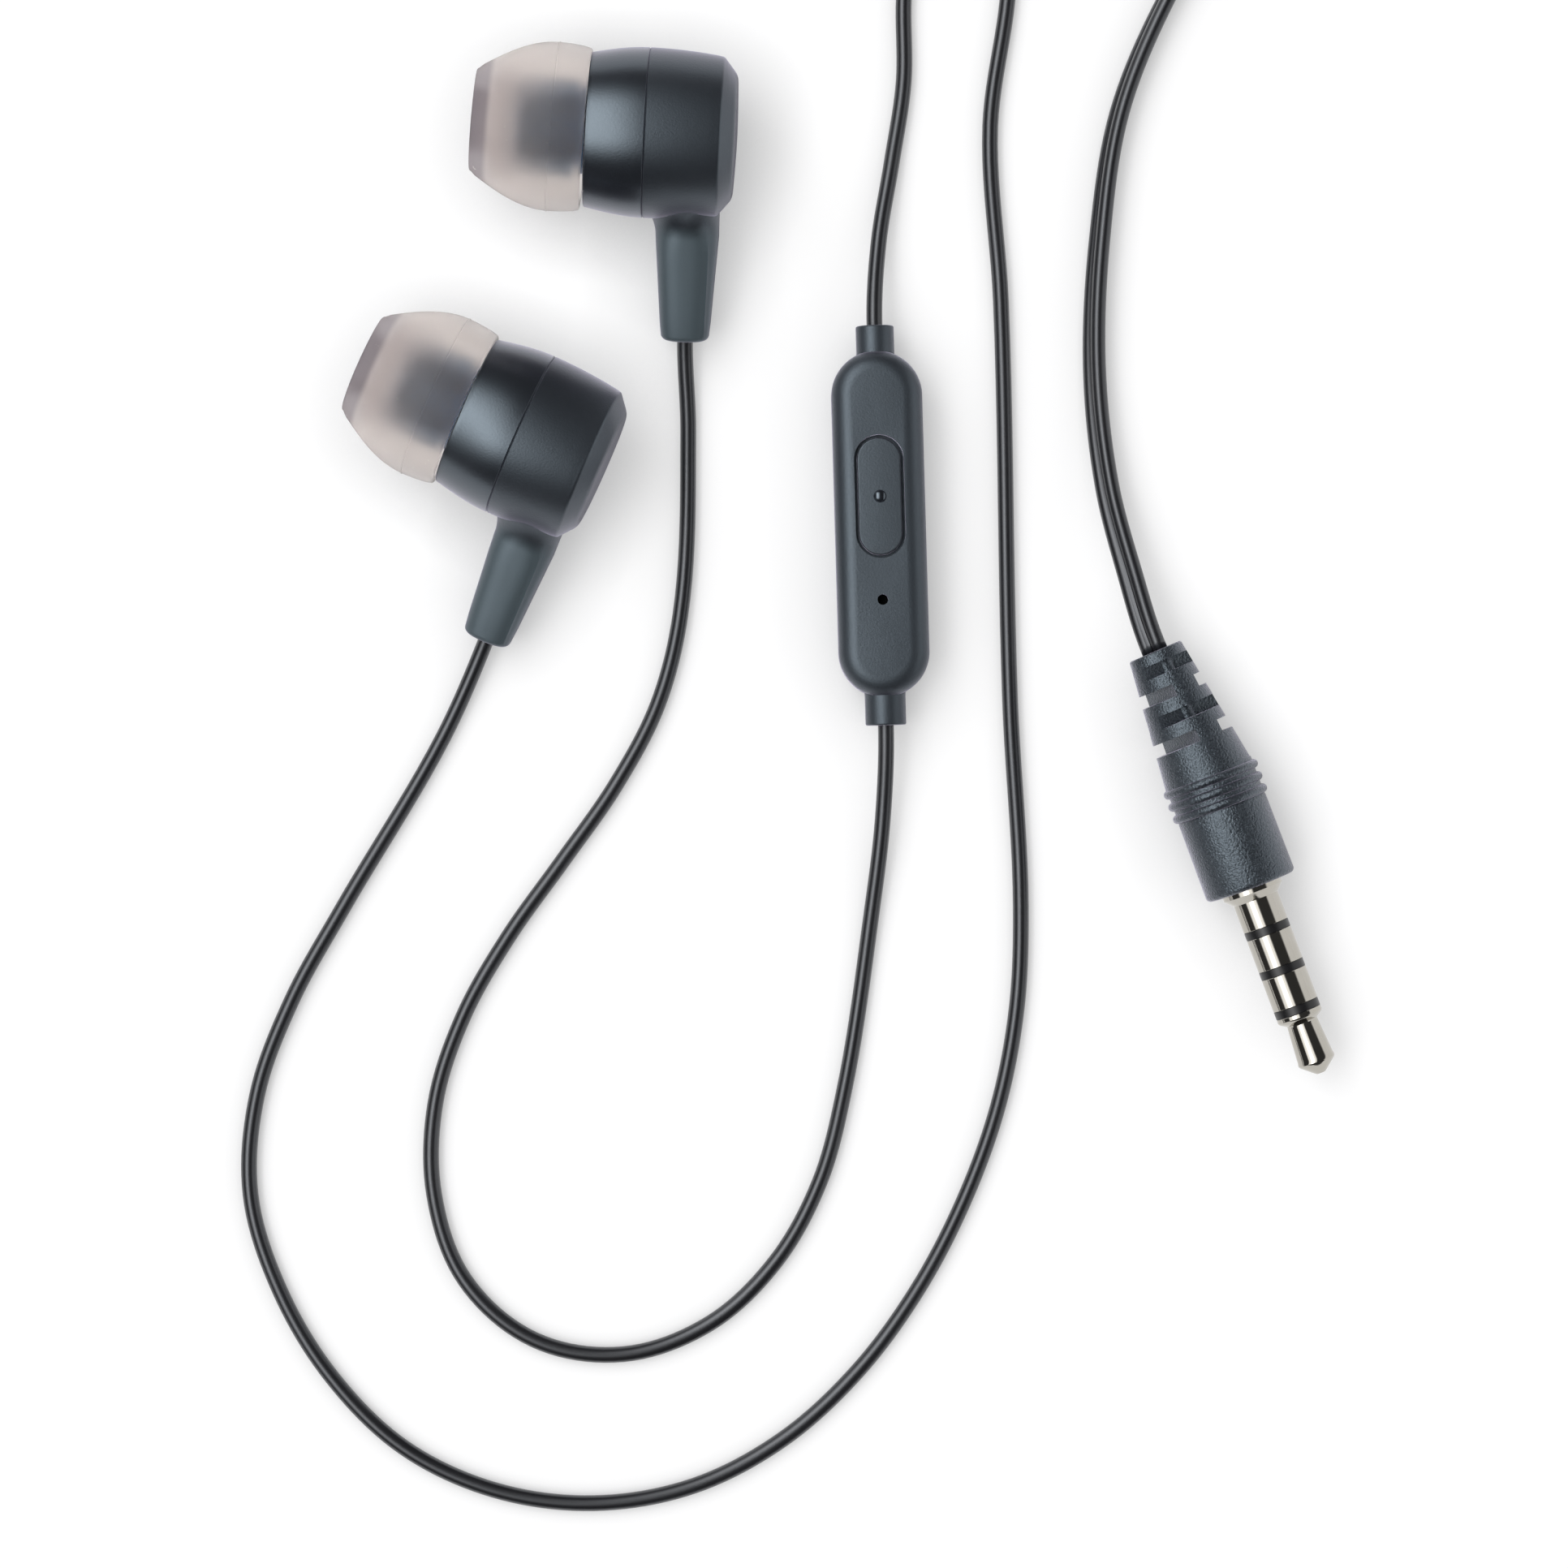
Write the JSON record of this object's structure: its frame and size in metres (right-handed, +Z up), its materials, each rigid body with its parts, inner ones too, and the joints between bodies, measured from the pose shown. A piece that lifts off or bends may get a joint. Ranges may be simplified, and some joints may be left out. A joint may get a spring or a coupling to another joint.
{
  "type": "wired in-ear earphones",
  "caption": "Wired in-ear earphones with angled stems, soft ear tips, an in-line remote with microphone, a twin cord and a straight four-pole audio plug, spare cord coiled.",
  "frame": {"origin": "on the table, at the middle of the box round the two earbuds", "axes": "+Z up from the table; +Y from the cords' lower loop towards the coil; +X towards the plug; the ear tips point to -X"},
  "size_m": [0.0929, 0.1644, 0.0126],
  "materials": {
    "housing": "satin",
    "silicone": "translucent satin",
    "remote_shell": "satin",
    "button": "satin",
    "plug_rubber": "fine grain",
    "cord_jacket": "satin",
    "nickel": "polished nickel",
    "insulator": "gloss",
    "tie_plastic": "satin",
    "steel": "brushed",
    "magnet": "nickel plated",
    "copper": "enamelled wire",
    "film": "clear film",
    "board": "satin"
  },
  "bodies": {
    "earphones": {"right_front_shell": "housing", "right_nozzle_mesh": "steel", "right_diaphragm": "film", "right_voice_coil": "copper", "right_pole_plate": "steel", "right_magnet": "magnet", "right_driver_frame": "steel", "right_terminal_board": "board", "right_rear_shell": "housing", "left_front_shell": "housing", "left_nozzle_mesh": "steel", "left_diaphragm": "film", "left_voice_coil": "copper", "left_pole_plate": "steel", "left_magnet": "magnet", "left_driver_frame": "steel", "left_terminal_board": "board", "left_rear_shell": "housing", "remote_front_shell": "remote_shell", "remote_back_shell": "remote_shell", "remote_switch": "steel", "remote_circuit_board": "board", "remote_microphone": "steel", "plug_moulding": "plug_rubber", "plug_sleeve": "nickel", "plug_ring_near": "nickel", "plug_ring_far": "nickel", "plug_tip_contact": "nickel", "plug_insulators": "insulator", "cord_splitter": "cord_jacket", "coil_tie": "tie_plastic", "right_cord_lower": "cord_jacket", "right_cord_upper": "cord_jacket", "left_cord": "cord_jacket", "plug_cord": "cord_jacket", "coiled_cord": "cord_jacket", "splitter_cord": "cord_jacket"},
    "button": {"remote_button": "button", "remote_switch_plunger": "steel"},
    "right_tip": {"right_ear_tip": "silicone"},
    "left_tip": {"left_ear_tip": "silicone"}
  },
  "joints": [
    {"name": "button_press", "type": "slide", "parent": "earphones", "child": "button", "axis": [0, 0, -1], "range_m": [0, 0.00025], "stiffness_N_per_m": 2000},
    {"name": "right_tip_pull", "type": "slide", "parent": "earphones", "child": "right_tip", "axis": [-0.9986, 0.0523, 0], "range_m": [0, 0.009]},
    {"name": "left_tip_pull", "type": "slide", "parent": "earphones", "child": "left_tip", "axis": [-0.9135, 0.4067, 0], "range_m": [0, 0.009]}
  ]
}
